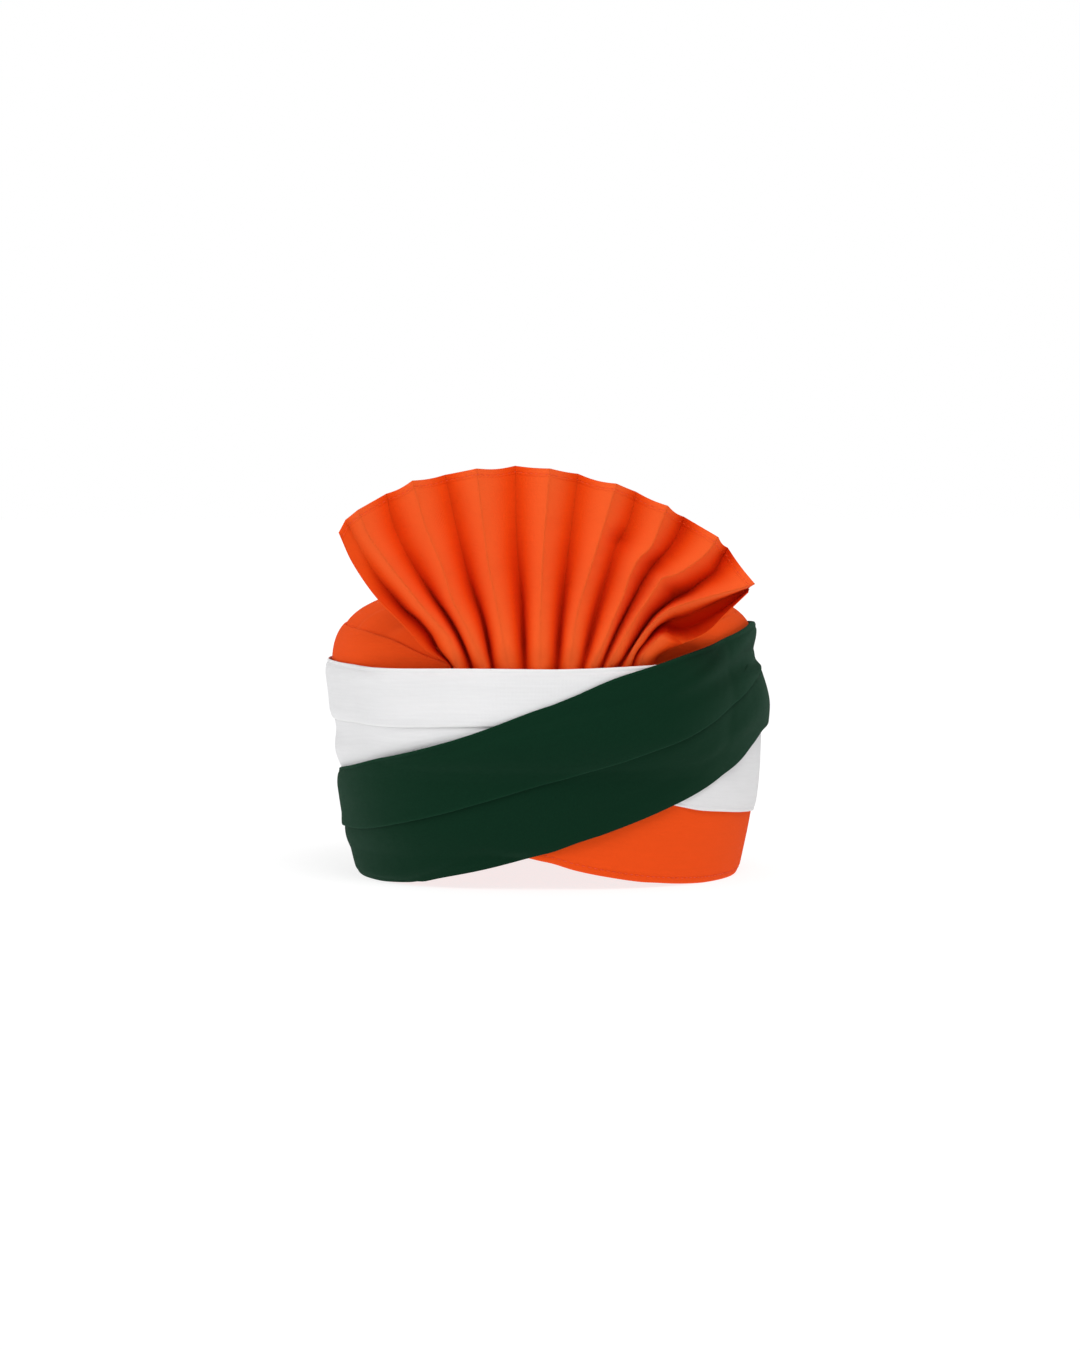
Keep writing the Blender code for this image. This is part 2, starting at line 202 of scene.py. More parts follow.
# The fan's folds from left to right, traced on the photograph in pixels from the band's edge up to
# the rim. crease is 1 on a ridge and -1 in a valley, at the foot and at the rim. opens is where along
# the fold, as shares of its length, the crease of the foot starts to give way to the rim's and where
# it has done so. cup is how far the rim end bends forward, as a share
EVENLY = (0.3, 0.9)
Fold = namedtuple("Fold", "crease_foot crease_rim opens cup path")
FOLDS = (
    Fold(-0.2, -0.3, EVENLY, 0.95, (
        (452, 667), (443, 661), (425, 650), (411, 634), (397, 619), (381, 603), (365, 583), (351, 561),
        (339, 534),
    )),
    Fold(-1.7, -0.2, EVENLY, 0.85, (
        (455, 667), (448, 662), (438, 652), (428, 634), (417, 621), (405, 611), (393, 597), (381, 582),
        (364, 555), (346, 521),
    )),
    Fold(0.9, 0.9, EVENLY, 0.7, (
        (460, 667), (454, 650), (446, 633), (435, 620), (422, 605), (405, 584), (385, 558), (369, 535),
        (359, 511),
    )),
    Fold(-1.2, -0.9, EVENLY, 0.5, (
        (473, 667), (463, 646), (450, 621), (434, 598), (420, 577), (405, 552), (392, 522), (386, 495),
    )),
    Fold(1.0, 0.7, EVENLY, 0.35, (
        (486, 667), (468, 629), (453, 600), (441, 563), (426, 527), (413, 482),
    )),
    Fold(-1.1, -1.0, EVENLY, 0.2, (
        (493, 667), (482, 617), (469, 580), (459, 540), (445, 476),
    )),
    Fold(1.0, 0.8, EVENLY, 0.1, (
        (509, 667), (498, 611), (489, 567), (482, 514), (477, 470),
    )),
    Fold(-1.1, -1.0, EVENLY, 0.0, (
        (525, 667), (522, 607), (517, 549), (515, 467),
    )),
    Fold(1.0, 0.8, EVENLY, 0.0, (
        (540, 667), (541, 600), (544, 540), (550, 470),
    )),
    Fold(-1.1, -1.0, EVENLY, 0.1, (
        (557, 667), (562, 607), (569, 545), (578, 475),
    )),
    Fold(1.0, 0.8, EVENLY, 0.2, (
        (570, 667), (577, 614), (592, 563), (606, 518), (616, 485),
    )),
    Fold(-1.1, -1.0, EVENLY, 0.35, (
        (582, 667), (597, 611), (608, 574), (617, 545), (627, 527), (636, 493),
    )),
    Fold(1.0, 0.8, EVENLY, 0.55, (
        (591, 667), (603, 643), (613, 618), (623, 595), (631, 572), (640, 557), (648, 550), (661, 522),
        (667, 507),
    )),
    Fold(-1.2, -1.3, EVENLY, 0.7, (
        (601, 667), (608, 652), (618, 630), (634, 599), (643, 582), (657, 562), (669, 549), (679, 533),
        (684, 518),
    )),
    Fold(1.1, 0.8, EVENLY, 1.0, (
        (606, 667), (617, 649), (628, 629), (637, 614), (646, 601), (655, 588), (662, 578), (673, 575),
        (694, 563), (708, 551), (717, 538),
    )),
    Fold(-1.5, -1.4, EVENLY, 1.1, (
        (617, 667), (626, 658), (636, 643), (645, 629), (655, 616), (664, 608), (676, 599), (689, 592),
        (702, 582), (715, 572), (722, 559), (728, 549),
    )),
    Fold(1.2, 0.9, EVENLY, 1.5, (
        (624, 667), (633, 648), (642, 634), (651, 624), (660, 615), (669, 609), (682, 604), (710, 596),
        (740, 588), (753, 584),
    )),
    Fold(-0.5, -2.7, (0.18, 0.36), 1.25, (
        (629, 667), (637, 653), (646, 642), (655, 632), (664, 625), (674, 620), (686, 617), (719, 602),
        (751, 588),
    )),
    Fold(0.7, -2.3, (0.27, 0.42), 1.1, (
        (636, 667), (643, 655), (652, 644), (661, 635), (669, 631), (686, 629), (719, 613), (750, 590.5),
    )),
    Fold(-0.4, -0.6, EVENLY, 1.0, (
        (649, 666), (660, 656), (673, 648), (690, 641), (706, 633), (726, 614), (748, 593),
    )),
)

# Soft dents in the fan: the pixel of each middle, its radius in pixels and its depth in metres
Dent = namedtuple("Dent", "column row radius depth")
DENTS = (
    Dent(618, 541, 10, 0.0034),
    Dent(556, 527, 8, 0.0012),
    Dent(681, 594, 10, 0.0030),
    Dent(652, 564, 8, 0.0020),
    Dent(672, 589, 7, 0.0016),
    Dent(500, 560, 12, -0.0008),
    Dent(399, 531, 9, 0.0010),
)


# Small tools


def eased(low, high, value):
    """0 below low, 1 above high, eased between."""
    share = np.clip((value - low) / (high - low), 0.0, 1.0)
    return share * share * (3 - 2 * share)


def bent(low, high, start, end, share):
    """A smooth curve from low to high that has these slopes at its ends."""
    rise = high - low
    turn = 3 * rise - 2 * start - end
    lift = start + end - 2 * rise
    return low + share * (start + share * (turn + share * lift))


def bearing_gap(degrees, centre):
    """How far a bearing is from a centre, in degrees to either side."""
    return np.abs((degrees - centre + 180) % 360 - 180)


def linear(colour):
    """The linear red, green, blue and alpha of an sRGB hex colour."""
    parts = [int(colour[i:i + 2], 16) / 255 for i in (1, 3, 5)]
    curve = [part / 12.92 if part <= 0.04045 else ((part + 0.055) / 1.055) ** 2.4 for part in parts]
    return (*curve, 1.0)


def unit(vectors):
    """Vectors brought to length 1."""
    return vectors / np.maximum(np.linalg.norm(vectors, axis=-1, keepdims=True), 1e-9)


# Sizes and colours


class TurbanBody(PropertyGroup):
    """The head and the wound body."""

    head_breadth: FloatProperty(
        name="Head breadth", description="Width of the hollow at the rim",
        default=0.168, min=0.1, unit="LENGTH",
    )
    head_length: FloatProperty(
        name="Head length", description="Length of the hollow at the rim, front to back",
        default=0.192, min=0.1, unit="LENGTH",
    )
    height: FloatProperty(
        name="Crown height", description="Height of the crown over the rim",
        default=0.136, min=0.05, unit="LENGTH",
    )
    belly_height: FloatProperty(
        name="Belly height", description="Height of the widest girth",
        default=0.097, min=0.03, unit="LENGTH",
    )
    belly_swell: FloatProperty(
        name="Belly swell", description="How far the belly stands out beyond the rim",
        default=0.013, min=0.0, unit="LENGTH",
    )
    rim_lip: FloatProperty(
        name="Rim lip", description="Height over the rim where the swell starts",
        default=0.0025, min=0.0, unit="LENGTH",
    )
    rim_roll: FloatProperty(
        name="Rim roll", description="How far the cloth rolls in along the lower edge",
        default=0.0014, min=0.0, unit="LENGTH",
    )
    slack: FloatProperty(
        name="Slack", description="Height of the long low waves in the wound cloth",
        default=0.0008, min=0.0, max=0.003, unit="LENGTH",
    )


class TurbanCloth(PropertyGroup):
    """The cloth of every piece."""

    cap_wall: FloatProperty(
        name="Cap wall", description="Thickness of the wound inner cloth",
        default=0.003, min=0.001, unit="LENGTH",
    )
    turn_wall: FloatProperty(
        name="Turn wall", description="Thickness of a turn from its face to its folded underside",
        default=0.0014, min=0.0008, unit="LENGTH",
    )
    ply: FloatProperty(
        name="Ply", description="Thickness of one ply of starched cotton",
        default=0.0004, min=0.0002, unit="LENGTH",
    )
    fan_wall: FloatProperty(
        name="Fan wall", description="Thickness of the fan where it is tucked",
        default=0.0012, min=0.0005, unit="LENGTH",
    )
    gap: FloatProperty(
        name="Gap", description="Air between one layer of cloth and the next",
        default=0.0005, min=0.0001, unit="LENGTH",
    )
    turning: FloatProperty(
        name="Turning", description="Width of cloth folded under at each edge of a turn",
        default=0.008, min=0.002, unit="LENGTH",
    )
    thread: FloatProperty(
        name="Thread spacing", description="Spacing of the threads as drawn",
        default=0.0006, min=0.0001, unit="LENGTH",
    )
    stitch: FloatProperty(
        name="Stitch", description="Length of a stitch in the sewn hems",
        default=0.0021, min=0.0005, unit="LENGTH",
    )
    saffron: FloatVectorProperty(
        name="Saffron", description="Colour of the crown, the base and the fan",
        subtype="COLOR", size=4, min=0.0, max=1.0, default=linear("#EE4A10"),
    )
    white: FloatVectorProperty(
        name="White", description="Colour of the white turns",
        subtype="COLOR", size=4, min=0.0, max=1.0, default=linear("#E9E9EA"),
    )
    green: FloatVectorProperty(
        name="Green", description="Colour of the green turns",
        subtype="COLOR", size=4, min=0.0, max=1.0, default=linear("#0D2D1D"),
    )


class TurbanFan(PropertyGroup):
    """The pleated fan."""

    lean: FloatProperty(
        name="Lean", description="How far the rim leans back",
        default=0.008, unit="LENGTH",
    )
    cup: FloatProperty(
        name="Cup", description="How far the ends bend forward",
        default=0.012, unit="LENGTH",
    )
    foot_width: FloatProperty(
        name="Foot width", description="Width of the tucked foot",
        default=0.085, min=0.02, unit="LENGTH",
    )
    foot_tuck: FloatProperty(
        name="Foot tuck", description="How far the foot reaches down behind the band",
        default=0.015, min=0.002, unit="LENGTH",
    )
    foot_pleat: FloatProperty(
        name="Foot pleat", description="Half the depth of the pleats in the foot",
        default=0.003, min=0.0005, unit="LENGTH",
    )
    waist_pleat: FloatProperty(
        name="Waist pleat", description="Half the depth of the pleats just over the band",
        default=0.0068, min=0.001, unit="LENGTH",
    )
    rim_pleat: FloatProperty(
        name="Rim pleat", description="Half the depth of the pleats at the rim",
        default=0.006, min=0.001, unit="LENGTH",
    )
    hem: FloatProperty(
        name="Hem", description="Width of the turned and sewn hem along the rim",
        default=0.0028, min=0.001, unit="LENGTH",
    )
    panel: FloatProperty(
        name="Panel", description="Flat width of the cloth from one fold to the next",
        default=0.018, min=0.005, unit="LENGTH",
    )


class TurbanStudio(PropertyGroup):
    """The camera, the floor and the light."""

    distance: FloatProperty(
        name="Camera distance", description="From the camera to the turban's middle",
        default=1.8, min=0.5, unit="LENGTH",
    )
    tilt: FloatProperty(
        name="Camera tilt", description="How far the camera looks down",
        default=math.radians(2.5), subtype="ANGLE",
    )
    pixel: FloatProperty(
        name="Pixel", description="Size of one pixel of the 1080 x 1350 frame at the turban's middle",
        default=0.000475, min=0.0001, precision=6, unit="LENGTH",
    )
    aim_side: FloatProperty(
        name="Aim sideways", description="Sideways place of the frame's middle",
        default=-0.00356, unit="LENGTH",
    )
    aim_height: FloatProperty(
        name="Aim height", description="Height of the frame's middle",
        default=0.0931, unit="LENGTH",
    )
    ambient: FloatProperty(
        name="Ambient", description="Strength of the white surround",
        default=0.44, min=0.0,
    )
    key: FloatProperty(
        name="Key", description="Strength of the large soft light at the front right",
        default=1.28, min=0.0,
    )
    fill: FloatProperty(
        name="Fill", description="Strength of the weaker light at the left",
        default=0.85, min=0.0,
    )


# The wound body


class WoundBody:
    """The shape that all the cloth is wound on, and how far off it each layer lies."""

    def __init__(self, scene):
        self.body = scene.turban_body
        self.cloth = scene.turban_cloth
        self.fan = scene.turban_fan
        self.half_breadth = self.body.head_breadth / 2 + self.cloth.cap_wall
        self.half_length = self.body.head_length / 2 + self.cloth.cap_wall
        self.one_turn = self.cloth.turn_wall + self.cloth.gap
        self.foot_depth = 2 * self.fan.foot_pleat + 2 * self.cloth.fan_wall
        self.foot_middle = self.one_turn + self.cloth.gap + self.foot_depth / 2
        self.band_top = BAND_TOP * self.body.height
        low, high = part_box("cap")
        girth = self.half_breadth + self.body.belly_swell
        self.shift = (low[0] + girth, high[1] - girth * self.half_length / self.half_breadth)

    def edge(self, edge, degrees):
        """The height of a level edge or of a sloping one, on a curve that never swings past its rows."""
        if not isinstance(edge, str):
            return np.full(np.shape(degrees), edge * self.body.height)
        values = np.array([getattr(row, edge) for row in BEARINGS])
        places = np.array([row.degrees for row in BEARINGS], float)
        count = len(values)
        place = degrees % 360
        first = np.searchsorted(places, place, side="right") - 1
        low, high = values[first], values[(first + 1) % count]
        step = (places[(first + 1) % count] - places[first]) % 360
        share = (place - places[first]) / step
        rises = (np.roll(values, -1) - values) / ((np.roll(places, -1) - places) % 360)
        start = self.slope(rises[first - 1], rises[first]) * step
        end = self.slope(rises[first], rises[(first + 1) % count]) * step
        return bent(low, high, start, end, share) * self.body.height

    @staticmethod
    def slope(before, after):
        """The slope at a row: between those before and after it, and level at a peak or a dip."""
        product = before * after
        total = np.where(product > 0, before + after, 1.0)
        return np.where(product > 0, 2 * product / total, 0.0)

    def breadth(self, height):
        """Half the cap's breadth at a height: the rim's and the swell, drawn in over the dome."""
        lip = self.body.rim_lip
        belly = self.body.belly_height
        rise = np.clip((height - lip) / (belly - lip), 0, 1)
        swell = 1 - (1 - rise) ** LOWER_POWER
        over = np.clip((height - belly) / (self.body.height - belly), 0, 1)
        dome = (1 - over**DOME_POWER) ** (1 / DOME_POWER)
        return (self.half_breadth + self.body.belly_swell * swell) * dome

    def pulled(self, pull, degrees, height):
        """The depth of one pull at this place."""
        share = height / self.body.height
        sideways = 1 - eased(0.0, pull.reach, bearing_gap(degrees, pull.bearing))
        upward = eased(pull.start, pull.full, share) * (1 - eased(pull.until, pull.end, share))
        return pull.depth * sideways * upward

    def hollow(self, degrees, height):
        """How far the cloth is pulled in at this place."""
        return sum(self.pulled(pull, degrees, height) for pull in PULLS)

    def tightness(self, degrees, height):
        """How close the turns lie on each other: 1 where they are wound at ease."""
        return 1 - self.pulled(TIGHT, degrees, height)

    def waves(self, degrees, height):
        """The long low waves of cloth wound by hand, which every layer shares."""
        draws = np.random.default_rng(7)
        count = 9
        steepest = 70
        total = 0.0
        for _ in range(count):
            around = int(draws.integers(2, 8))
            upward = draws.uniform(-steepest, steepest)
            phase = draws.uniform(0, 2 * math.pi)
            total = total + np.sin(around * np.radians(degrees) + upward * height + phase)
        fade = eased(0.0, 0.02, height) * (1 - eased(0.9, 1.0, height / self.body.height))
        return self.body.slack * fade * total / math.sqrt(count)

    def surface(self, degrees, height, rolled=True):
        """Points on the outside of the cap."""
        angle = np.radians(degrees)
        breadth = self.breadth(height)
        across, along = (
            breadth * np.sign(part) * np.abs(part) ** (2 / PLAN_POWER)
            for part in (np.cos(angle), np.sin(angle))
        )
        along = along * self.half_length / self.half_breadth
        reach = np.maximum(np.hypot(across, along), self.body.belly_swell)
        inward = self.hollow(degrees, height) - self.waves(degrees, height)
        if rolled:
            inward = inward + self.rolled(degrees, height)
        pulled = 1 - inward / reach
        x = across * pulled + self.shift[0]
        y = along * pulled + self.shift[1]
        return np.stack([x, y, np.broadcast_to(height, x.shape)], axis=-1)

    def rolled(self, degrees, height):
        """How far the lower edge rolls in, up to the reach over the rim and a little under it."""
        reach = 0.005
        under = 0.001
        over = np.clip(height - self.edge("rim", degrees), -under, reach)
        return self.body.rim_roll * (1 - over / reach) ** 2

    def normal(self, degrees, height):
        """The outward direction of the cap."""
        round_step = 0.5
        up_step = 0.0005
        right, left = (
            self.surface(degrees + turn, height, False) for turn in (round_step, -round_step)
        )
        above, below = (
            self.surface(degrees, height + rise, False) for rise in (up_step, -up_step)
        )
        return unit(np.cross(right - left, above - below))

    def cover(self, low, high, height):
        """1 on a turn and a little past its edges, eased to 0 beyond."""
        reach = 0.014
        fall = 0.024
        above = 1 - eased(high + reach, high + reach + fall, height)
        below = eased(low - reach - fall, low - reach, height)
        return above * below

    def foot_cover(self, degrees, height):
        """1 where the fan's foot lies under the white cloth, eased to 0 beyond its ends.

        The foot's middle bearing, its margin at each side and the easing are in degrees.
        """
        bearing = 267
        margin = 4.0
        spread = 34.0
        half_angle = math.degrees(
            math.asin(self.fan.foot_width / 2 / (self.half_breadth + self.body.belly_swell))
        )
        full = half_angle + margin
        sideways = 1 - eased(full, full + spread, bearing_gap(degrees, bearing))
        return sideways * self.cover(self.band_top - self.fan.foot_tuck, self.body.height, height)

    def lift(self, layer, degrees, height):
        """How far above the cap the inner face of a turn lies: over all that it is wound on."""
        lifts = {}
        gap = self.cloth.gap
        for over in range(1, layer + 1):
            lift = np.full(np.broadcast(degrees, height).shape, gap)
            for turn in TURNS:
                if turn.layer < over:
                    low = self.edge(turn.foot, degrees)
                    high = self.edge(turn.top, degrees) + turn.lap
                    under = self.cover(low, high, height)
                    wound = lifts[turn.layer] + self.cloth.turn_wall
                    lift = np.maximum(lift, gap + under * wound)
            if over >= LAYER_BY_FOOT:
                foot = self.foot_cover(degrees, height)
                crown = self.one_turn if over >= LAYER_OVER_FOOT else 0.0
                lift = np.maximum(lift, gap + foot * (crown + gap + self.foot_depth))
            lifts[over] = lift
        return lifts[layer] * self.tightness(degrees, height)

    def front_bearing(self, side, height):
        """The bearing of a place on the front, from how far it is to the right."""
        side = side - self.shift[0]
        share = np.clip(np.abs(side) / self.breadth(height), 0, 1)
        cosine = np.sign(side) * share ** (PLAN_POWER / 2)
        return 360 - np.degrees(np.arccos(cosine))


def photo_point(studio, column, row, y):
    """The places behind pixels of the photograph, at a chosen depth y."""
    sine = math.sin(studio.tilt)
    cosine = math.cos(studio.tilt)
    per_pixel = studio.pixel / studio.distance
    right = (column - PHOTO_WIDTH / 2) * per_pixel
    up = (PHOTO_HEIGHT / 2 - row) * per_pixel
    depth = (y + studio.distance * cosine) / (cosine + up * sine)
    x = studio.aim_side + depth * right
    z = studio.aim_height + studio.distance * sine + depth * (up * cosine - sine)
    return np.stack([x, y, z], axis=-1)


# Cloth as meshes


def flat_lengths(points):
    """The place of each grid point on the flat cloth, in metres along and across it."""
    along = np.linalg.norm(np.diff(points, axis=1), axis=2)
    middle = along[along.shape[0] // 2]
    u = np.concatenate([[0.0], np.cumsum(middle)])
    upward = np.linalg.norm(np.diff(points, axis=0), axis=2)
    v = np.concatenate([np.zeros((1, points.shape[1])), np.cumsum(upward, axis=0)])
    return np.stack([np.broadcast_to(u, v.shape), v], axis=-1)


def as_mesh(bm, name):
    """A finished bmesh as a smooth mesh."""
    mesh = bpy.data.meshes.new(name)
    bm.to_mesh(mesh)
    bm.free()
    mesh.shade_smooth()
    return mesh


def set_out(name, data):
    """An object at the origin, in the scene."""
    item = bpy.data.objects.new(name, data)
    bpy.context.scene.collection.objects.link(item)
    return item


def sheet_mesh(name, points, flat, painted_light, closed):
    """A grid of cloth laid on rows and columns of points, with the flat cloth as its UV map."""
    rows = points.shape[0] - 1
    columns = points.shape[1] - 1
    bm = bmesh.new()
    bmesh.ops.create_grid(bm, x_segments=columns, y_segments=rows, size=0.5)
    layer = bm.loops.layers.uv.new(UV_NAME)
    painted_light_layer = bm.verts.layers.float.new(PAINTED_LIGHT_NAME)
    places = {}
    for vertex in bm.verts:
        column = round((vertex.co.x + 0.5) * columns)
        row = round((vertex.co.y + 0.5) * rows)
        places[vertex] = flat[row, column]
        vertex.co = points[row, column]
        # The painted shade and painted highlight at this point, for the material
        vertex[painted_light_layer] = painted_light[row, column]
    for face in bm.faces:
        for loop in face.loops:
            loop[layer].uv = places[loop.vert]
    if closed:
        bmesh.ops.remove_doubles(bm, verts=bm.verts, dist=1e-6)
    return as_mesh(bm, name)


def cloth_piece(name, node, cloth, points, thickness, painted_light, offset=-1.0, closed=True, flat=None):
    """A piece of cloth that stands for a node: a grid with its thickness, riding on the body."""
    if flat is None:
        flat = flat_lengths(points)
    mesh = sheet_mesh(name, points, flat, painted_light, closed)
    mesh.materials.append(bpy.data.materials[CLOTH_NAMES[cloth]])
    piece = set_out(name, mesh)
    wall = piece.modifiers.new("thickness", "SOLIDIFY")
    wall.thickness = thickness
    wall.offset = offset
    wall.use_even_offset = False
    wall.use_quality_normals = True
    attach(piece, BODY)
    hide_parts(node)
    return piece


def declare_sheet(piece):
    """Works out the piece's flat length and width from its own surface along and across the cloth; they
    are not passed on.
    """
    mesh = piece.data
    area = sum(polygon.area for polygon in mesh.polygons)
    coords = np.empty(len(mesh.loops) * 2)
    mesh.uv_layers[UV_NAME].data.foreach_get("uv", coords)
    coords = coords.reshape(-1, 2)
    length, width = coords.max(axis=0) - coords.min(axis=0)
    width = max(width, area / length)


def sew(name, line, out, cloth):
    """A row of stitches along a line that lies on the cloth: short rounded lengths of thread."""
    radius = 0.00021
    space = 0.0008
    margin = 0.001
    along = np.concatenate([[0.0], np.cumsum(np.linalg.norm(np.diff(line, axis=0), axis=1))])
    pitch = cloth.stitch + space

    def at(place, rows):
        return Vector([float(np.interp(place, along, rows[:, axis])) for axis in range(3)])

    bm = bmesh.new()
    for start in np.arange(margin, along[-1] - pitch, pitch):
        first, middle, last = (at(start + cloth.stitch * part, line) for part in (0, 0.5, 1))
        outward = at(start + cloth.stitch * 0.5, out)
        length = (last - first).normalized()
        across = outward.cross(length).normalized()
        outward = length.cross(across)
        turned = Matrix((length * cloth.stitch / 2, across * radius, outward * radius)).transposed()
        bmesh.ops.create_uvsphere(
            bm, u_segments=6, v_segments=4, radius=1.0,
            matrix=Matrix.Translation(middle) @ turned.to_4x4(),
        )
    bmesh.ops.recalc_face_normals(bm, faces=bm.faces)
    mesh = as_mesh(bm, name)
    mesh.materials.append(bpy.data.materials["sewing_thread_saffron"])
    stitches = set_out(name, mesh)
    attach(stitches, BODY)
    return stitches


# Materials

CLOTH_NAMES = {
    "saffron": "starched_cotton_saffron",
    "white": "cotton_voile_white",
    "green": "cotton_sateen_green",
}


def add(tree, kind, inputs=None, **settings):
    """Adds a node with its settings, and sets or links its inputs."""
    node = tree.nodes.new(kind)
    for name, value in settings.items():
        setattr(node, name, value)
    for name, value in (inputs or {}).items():
        if isinstance(value, bpy.types.NodeSocket):
            tree.links.new(value, node.inputs[name])
        else:
            node.inputs[name].default_value = value
    return node


def bare_material(name):
    """A new material, its nodes and its shader."""
    material = bpy.data.materials.new(name)
    material.use_nodes = True
    tree = material.node_tree
    return material, tree, tree.nodes["Principled BSDF"]


def woven_height(tree, place, thread):
    """Plain weave: each thread goes over one and under the next."""
    scaled = add(
        tree, "ShaderNodeVectorMath", {0: place, 1: (math.pi / thread,) * 3}, operation="MULTIPLY"
    )
    parts = add(tree, "ShaderNodeSeparateXYZ", {0: scaled.outputs[0]})

    def math_node(operation, *inputs):
        return add(tree, "ShaderNodeMath", dict(enumerate(inputs)), operation=operation).outputs[0]

    warp, weft = (math_node("SINE", part) for part in parts.outputs[:2])
    over = math_node("MULTIPLY", warp, weft)
    tops = []
    for yarn, side in ((warp, 0.5), (weft, -0.5)):
        up = math_node("MULTIPLY_ADD", over, side, 0.5)
        tops.append(math_node("MULTIPLY", math_node("ABSOLUTE", yarn), up))
    return math_node("MAXIMUM", *tops)


def cotton(name, colour, painted_shade_colour, painted_highlight_colour, thread, gloss, sheen, sheen_tint):
    """Woven cotton: soft and matt, with a weave, uneven yarn, a faint crumple, painted shade and painted
    highlights.
    """
    material, tree, shader = bare_material(name)
    place = add(tree, "ShaderNodeTexCoord").outputs["UV"]

    # Uneven yarn: streaks 35 mm long and a thread or two wide
    yarn_place = add(tree, "ShaderNodeMapping", {"Vector": place, "Scale": (1 / 0.035, 1 / 0.0014, 1.0)})
    yarn = add(tree, "ShaderNodeTexNoise", {"Vector": yarn_place.outputs[0], "Scale": 1.0, "Detail": 2.0})
    # Dye that took a little unevenly, in patches of about 40 mm
    patch = add(tree, "ShaderNodeTexNoise", {"Vector": place, "Scale": 1 / 0.040, "Detail": 3.0})
    blend = add(
        tree, "ShaderNodeMath", {0: yarn.outputs["Fac"], 1: patch.outputs["Fac"]}, operation="ADD"
    )
    # The two noises add up to between 0.6 and 1.4, and change the tone by 3 %
    tone = add(
        tree,
        "ShaderNodeMapRange",
        {"Value": blend.outputs[0], "From Min": 0.6, "From Max": 1.4, "To Min": 0.97, "To Max": 1.03},
    )
    shade = add(tree, "ShaderNodeHueSaturation", {"Color": colour, "Value": tone.outputs[0]})

    # Painted light from the mesh's tone: painted highlights on ridges and folded edges, and painted shade
    # in the depths
    fold = add(tree, "ShaderNodeAttribute", attribute_name=PAINTED_LIGHT_NAME).outputs["Fac"]
    deep = add(tree, "ShaderNodeMapRange", {"Value": fold, "From Max": 0.5, "To Min": 1.0, "To Max": 0.0})
    painted_light = add(tree, "ShaderNodeMapRange", {"Value": fold, "From Min": 0.5})
    dyed = shade.outputs[0]
    for share, tint in ((deep, painted_shade_colour), (painted_light, painted_highlight_colour)):
        inputs = {"Fac": share.outputs[0], "Color1": dyed, "Color2": tint}
        dyed = add(tree, "ShaderNodeMixRGB", inputs).outputs[0]
    tree.links.new(dyed, shader.inputs["Base Color"])

    # Crumple 12 mm across and 0.4 mm high, then the yarn, then the weave on top, its threads 0.3 of
    # their spacing high
    crumpled = add(
        tree,
        "ShaderNodeTexNoise",
        {"Vector": place, "Scale": 1 / 0.012, "Detail": 4.0, "Roughness": 0.55},
    )
    below = {}
    for height, strength, distance in (
        (crumpled.outputs["Fac"], 1.0, 0.0004),
        (yarn.outputs["Fac"], 0.2, 0.00008),
        (woven_height(tree, place, thread), 0.7, thread * 0.3),
    ):
        inputs = {"Height": height, "Strength": strength, "Distance": distance, **below}
        below = {"Normal": add(tree, "ShaderNodeBump", inputs).outputs[0]}
    tree.links.new(below["Normal"], shader.inputs["Normal"])
    for socket, value in (
        ("Roughness", 0.85), ("Specular IOR Level", gloss), ("Sheen Weight", sheen),
        ("Sheen Roughness", 0.45), ("Sheen Tint", sheen_tint),
    ):
        shader.inputs[socket].default_value = value


def sewing_thread(name, colour):
    """Spun polyester thread: a tight twist, 0.6 mm to a turn, with a low gloss."""
    material, tree, shader = bare_material(name)
    place = add(tree, "ShaderNodeTexCoord").outputs["Object"]
    twist = add(tree, "ShaderNodeTexNoise", {"Vector": place, "Scale": 1 / 0.0006, "Detail": 2.0})
    tone = add(
        tree, "ShaderNodeMapRange", {"Value": twist.outputs["Fac"], "To Min": 0.85, "To Max": 1.1}
    )
    shade = add(tree, "ShaderNodeHueSaturation", {"Color": colour, "Value": tone.outputs[0]})
    tree.links.new(shade.outputs[0], shader.inputs["Base Color"])
    shader.inputs["Roughness"].default_value = 0.5


def make_materials(scene):
    """The three cottons and the saffron thread."""
    cloth = scene.turban_cloth
    # Each cloth: its dye, its painted-shade colour for the depths, its painted-highlight colour for the
    # folds, gloss, sheen and the sheen's tint
    for slot, colour, deep, painted_light, gloss, sheen, tint in (
        ("saffron", cloth.saffron, "#CE2200", "#F6622C", 0.03, 0.05, "#FF9A60"),
        ("white", cloth.white, "#E2E2E2", "#F4F4F4", 0.06, 0.05, "#FFFFFF"),
        ("green", cloth.green, "#0A2417", "#1D4A34", 0.03, 0.09, "#A8E0C4"),
    ):
        cotton(
            CLOTH_NAMES[slot], tuple(colour), linear(deep), linear(painted_light), cloth.thread,
            gloss, sheen, linear(tint),
        )
    sewing_thread("sewing_thread_saffron", tuple(cloth.saffron))


# The pieces


